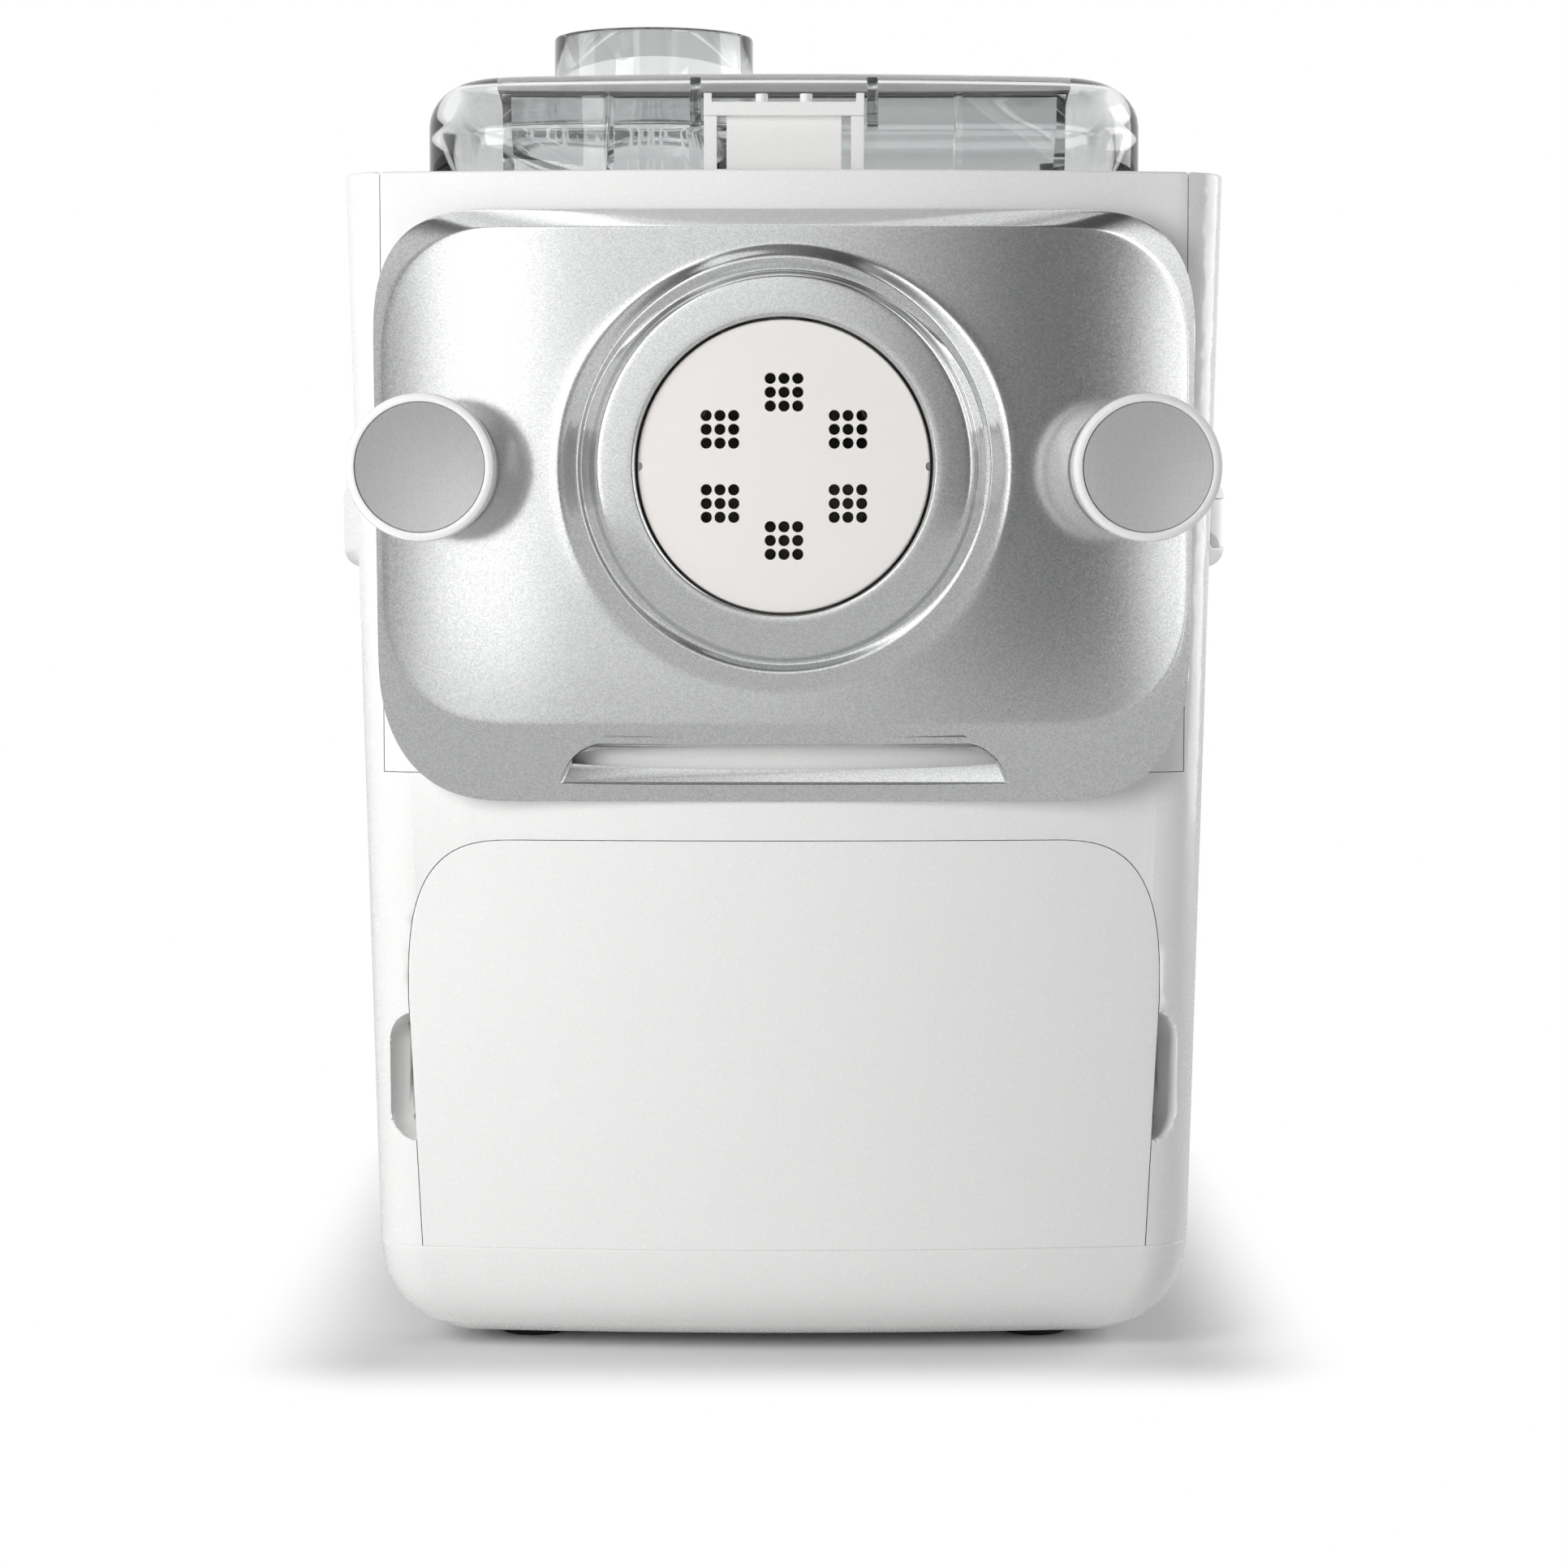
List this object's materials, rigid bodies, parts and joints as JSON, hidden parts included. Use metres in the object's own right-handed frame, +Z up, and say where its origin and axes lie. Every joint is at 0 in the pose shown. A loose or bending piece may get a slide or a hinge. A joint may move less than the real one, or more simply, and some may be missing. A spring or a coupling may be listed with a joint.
{
  "type": "electric pasta maker",
  "caption": "Countertop machine that mixes dough in a clear-lidded tub and presses it through a round disc in a silver front held by two knobs, over a storage drawer.",
  "frame": {"origin": "Centre of the bounding box on the table, under the rubber feet.", "axes": "+X to the machine's right as seen from the front, +Y from the front to the back, +Z up."},
  "size_m": [0.2326, 0.366, 0.3445],
  "materials": {
    "white_abs": "moulded glossy white ABS",
    "white_matte": "moulded satin white plastic",
    "silver_paint": "fine metallic silver paint",
    "clear_plastic": "clear moulded copolyester",
    "disc_white": "white acetal",
    "grey_plastic": "grey moulded plastic",
    "seal_rubber": "light grey silicone",
    "foot_rubber": "black rubber",
    "steel": "turned steel",
    "bush_bronze": "sintered bronze",
    "gear_plastic": "natural nylon",
    "laminate": "stacked lamination steel",
    "board_green": "circuit board laminate",
    "pod_glass": "smoked acrylic window",
    "display_black": "display cell"
  },
  "bodies": {
    "housing": {"base_tray": "white_abs", "rubber_feet": "foot_rubber", "base_screws": "steel", "main_housing": "white_abs", "front_fascia": "white_abs", "top_deck": "white_matte", "rear_cover": "white_matte", "cord_gland": "grey_plastic", "left_side_pod": "white_abs", "right_side_pod": "white_abs", "control_glass": "pod_glass", "display_module": "display_black", "control_board": "board_green", "key_domes": "seal_rubber", "mixing_tub": "clear_plastic", "shaft_seal": "seal_rubber", "extrusion_tube": "white_matte", "tube_seal": "seal_rubber", "lid_catch_frame": "white_abs", "lid_switch": "grey_plastic", "clamp_receivers": "steel", "gearbox_case": "grey_plastic", "gearbox_cover": "grey_plastic", "output_bearings": "steel", "cover_screws": "steel", "motor_can": "steel", "motor_end_cap": "grey_plastic", "motor_stator": "laminate", "shaft_bushes": "bush_bronze", "motor_bracket": "steel", "power_board": "board_green", "drawer_runners": "white_matte"},
    "lid": {"lid_cover": "clear_plastic", "lid_seal": "seal_rubber", "liquid_funnel": "clear_plastic"},
    "panel": {"front_panel": "silver_paint", "panel_liner": "white_matte", "shaping_disc": "disc_white", "disc_seal": "seal_rubber", "knob_bushes": "disc_white"},
    "left_clamp": {"left_knob": "white_abs", "left_knob_inset": "silver_paint", "left_clamp_bolt": "steel"},
    "right_clamp": {"right_knob": "white_abs", "right_knob_inset": "silver_paint", "right_clamp_bolt": "steel"},
    "drawer": {"drawer_front": "white_abs", "drawer_box": "white_matte"},
    "drive": {"output_shaft": "steel", "output_gear": "gear_plastic", "mixing_paddle": "white_matte", "extrusion_screw": "white_matte"},
    "idler": {"idler_pinion": "steel", "idler_gear": "gear_plastic"},
    "rotor": {"rotor_shaft": "steel", "rotor_core": "laminate", "cooling_fan": "grey_plastic"},
    "power_button": {"power_key": "white_abs"},
    "start_button": {"start_key": "white_abs"},
    "program_button": {"program_key": "white_abs"}
  },
  "joints": [
    {"name": "lid_lift", "type": "slide", "parent": "housing", "child": "lid", "axis": [0, 0, 1], "range_m": [0, 0.12]},
    {"name": "panel_pull", "type": "slide", "parent": "housing", "child": "panel", "axis": [0, -1, 0], "range_m": [0, 0.06]},
    {"name": "left_knob_turn", "type": "hinge", "parent": "panel", "child": "left_clamp", "pos_m": [-0.0879, -0.165, 0.2265], "axis": [0, 1, 0], "range_deg": [0, 90]},
    {"name": "right_knob_turn", "type": "hinge", "parent": "panel", "child": "right_clamp", "pos_m": [0.0879, -0.165, 0.2265], "axis": [0, 1, 0], "range_deg": [0, 90]},
    {"name": "drawer_slide", "type": "slide", "parent": "housing", "child": "drawer", "axis": [0, -1, 0], "range_m": [0, 0.15]},
    {"name": "output_spin", "type": "hinge", "parent": "housing", "child": "drive", "pos_m": [0, 0.03, 0.227], "axis": [0, 1, 0], "continuous": true},
    {"name": "idler_spin", "type": "hinge", "parent": "housing", "child": "idler", "pos_m": [0, 0.065, 0.15175], "axis": [0, 1, 0], "continuous": true},
    {"name": "motor_spin", "type": "hinge", "parent": "housing", "child": "rotor", "pos_m": [0, 0.12, 0.10675], "axis": [0, 1, 0], "continuous": true},
    {"name": "power_press", "type": "slide", "parent": "housing", "child": "power_button", "axis": [-1, 0, 0], "range_m": [0, 0.0008], "stiffness_N_per_m": 900, "deforming": ["key_domes"]},
    {"name": "start_press", "type": "slide", "parent": "housing", "child": "start_button", "axis": [-1, 0, 0], "range_m": [0, 0.0008], "stiffness_N_per_m": 900, "deforming": ["key_domes"]},
    {"name": "program_press", "type": "slide", "parent": "housing", "child": "program_button", "axis": [-1, 0, 0], "range_m": [0, 0.0008], "stiffness_N_per_m": 900, "deforming": ["key_domes"]}
  ],
  "couplings": [
    {"joint": "idler_spin", "follows": "output_spin", "ratio": -5.1429},
    {"joint": "motor_spin", "follows": "output_spin", "ratio": 25.714}
  ]
}
